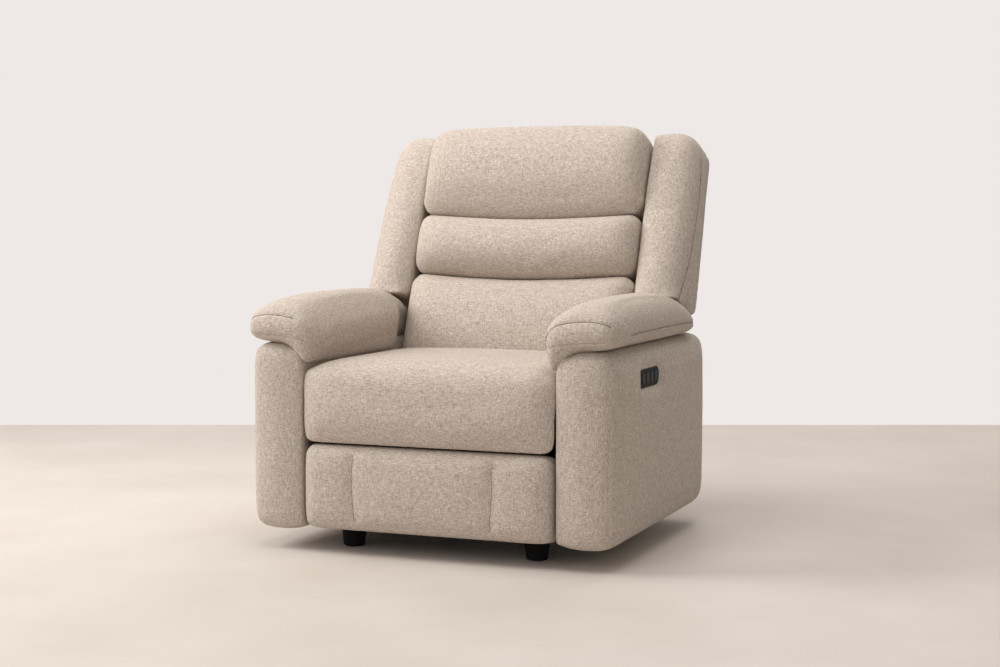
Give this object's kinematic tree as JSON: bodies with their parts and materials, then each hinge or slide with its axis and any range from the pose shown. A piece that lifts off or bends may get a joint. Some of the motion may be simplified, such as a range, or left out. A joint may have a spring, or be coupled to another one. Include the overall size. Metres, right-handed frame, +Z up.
{
  "type": "recliner armchair",
  "caption": "Upholstered power recliner armchair with pillow-top arms, a winged back of stacked cushions that reclines, a padded footrest that lifts and a switch in the arm.",
  "frame": {"origin": "on the floor, under the centre of the chair's bounding box", "axes": "+Z up, -Y towards the front of the chair, +X towards the arm with the switch"},
  "size_m": [0.935, 0.925, 1.0498],
  "materials": {
    "upholstery": "heathered woven cover over foam",
    "timber": "raw timber and plywood",
    "webbing": "woven elastic strap",
    "black_steel": "black powder coat",
    "zinc_steel": "zinc plated",
    "black_plastic": "fine-textured moulding",
    "button_plastic": "smooth moulding"
  },
  "bodies": {
    "base": {"arm_cover_left": "upholstery", "arm_cover_right": "upholstery", "arm_frame_left": "timber", "arm_frame_right": "timber", "arm_pad_left": "upholstery", "arm_pad_right": "upholstery", "base_rails": "black_steel", "base_tubes": "black_steel", "base_skids": "black_steel", "feet": "black_plastic", "arm_bolts": "zinc_steel", "rear_skirt": "upholstery", "link_plates": "black_steel", "back_posts": "black_steel", "pivot_pins": "zinc_steel", "seat_frame": "timber", "seat_springs": "zinc_steel", "seat_cushion": "upholstery", "footrest_rail": "zinc_steel", "footrest_gearbox": "black_plastic", "footrest_motor": "zinc_steel", "recline_rail": "zinc_steel", "recline_gearbox": "black_plastic", "recline_motor": "zinc_steel", "rail_brackets": "black_steel", "control_box": "black_plastic", "switch_bezel": "black_plastic"},
    "back": {"back_frame": "timber", "wing_boards": "timber", "back_webbing": "webbing", "back_brackets": "black_steel", "recline_crossbar": "black_steel", "back_panel": "upholstery", "wing_left": "upholstery", "wing_right": "upholstery", "lumbar_cushion": "upholstery", "mid_cushion": "upholstery", "head_cushion": "upholstery"},
    "recline_drive": {"recline_carriage": "black_plastic"},
    "swing": {"swing_links": "black_steel", "swing_pins": "zinc_steel", "drive_tube": "black_steel", "drive_crank": "black_steel"},
    "carry": {"carry_links": "black_steel"},
    "guide": {"guide_links": "black_steel", "guide_pins": "zinc_steel"},
    "steady": {"steady_links": "black_steel"},
    "footrest": {"footrest_pad": "upholstery", "footrest_board": "timber", "footrest_brackets": "black_steel", "footrest_pins": "zinc_steel"},
    "footrest_drive": {"footrest_carriage": "black_plastic"},
    "button_back_down": {"button_back_down": "button_plastic"},
    "button_back_up": {"button_back_up": "button_plastic"},
    "button_feet_up": {"button_feet_up": "button_plastic"},
    "button_feet_down": {"button_feet_down": "button_plastic"}
  },
  "joints": [
    {"name": "back_recline", "type": "hinge", "parent": "base", "child": "back", "pos_m": [0, 0.25246, 0.4], "axis": [-1, 0, 0], "range_deg": [0, 35]},
    {"name": "recline_slide", "type": "slide", "parent": "base", "child": "recline_drive", "axis": [0, -1, 0], "range_m": [0, 0.0696]},
    {"name": "footrest_swing", "type": "hinge", "parent": "base", "child": "swing", "pos_m": [0, -0.2555, 0.32], "axis": [-1, 0, 0], "range_deg": [0, 95]},
    {"name": "footrest_slide", "type": "slide", "parent": "base", "child": "footrest_drive", "axis": [0, -1, 0], "range_m": [0, 0.0914]},
    {"name": "carry_turn", "type": "hinge", "parent": "swing", "child": "carry", "pos_m": [0, -0.14562, 0.08436], "axis": [-1, 0, 0], "range_deg": [-95, 0]},
    {"name": "footrest_turn", "type": "hinge", "parent": "carry", "child": "footrest", "pos_m": [0, -0.3515, 0.178], "axis": [-1, 0, 0], "range_deg": [0, 95]},
    {"name": "guide_swing", "type": "hinge", "parent": "base", "child": "guide", "pos_m": [0, -0.3855, 0.32], "axis": [-1, 0, 0], "range_deg": [0, 95]},
    {"name": "steady_turn", "type": "hinge", "parent": "guide", "child": "steady", "pos_m": [0, -0.27562, 0.13936], "axis": [-1, 0, 0], "range_deg": [-95, 0]},
    {"name": "button_back_down_press", "type": "slide", "parent": "base", "child": "button_back_down", "axis": [-1, 0, 0], "range_m": [0, 0.0015], "stiffness_N_per_m": 400, "springref_m": -0.001},
    {"name": "button_back_up_press", "type": "slide", "parent": "base", "child": "button_back_up", "axis": [-1, 0, 0], "range_m": [0, 0.0015], "stiffness_N_per_m": 400, "springref_m": -0.001},
    {"name": "button_feet_up_press", "type": "slide", "parent": "base", "child": "button_feet_up", "axis": [-1, 0, 0], "range_m": [0, 0.0015], "stiffness_N_per_m": 400, "springref_m": -0.001},
    {"name": "button_feet_down_press", "type": "slide", "parent": "base", "child": "button_feet_down", "axis": [-1, 0, 0], "range_m": [0, 0.0015], "stiffness_N_per_m": 400, "springref_m": -0.001}
  ],
  "couplings": [
    {"joint": "recline_slide", "follows": "back_recline", "m_per_rad": 0.1137},
    {"joint": "footrest_slide", "follows": "footrest_swing", "m_per_rad": 0.055},
    {"joint": "carry_turn", "follows": "footrest_swing", "ratio": -1},
    {"joint": "footrest_turn", "follows": "footrest_swing", "ratio": 1},
    {"joint": "guide_swing", "follows": "footrest_swing", "ratio": 1},
    {"joint": "steady_turn", "follows": "footrest_swing", "ratio": -1}
  ]
}
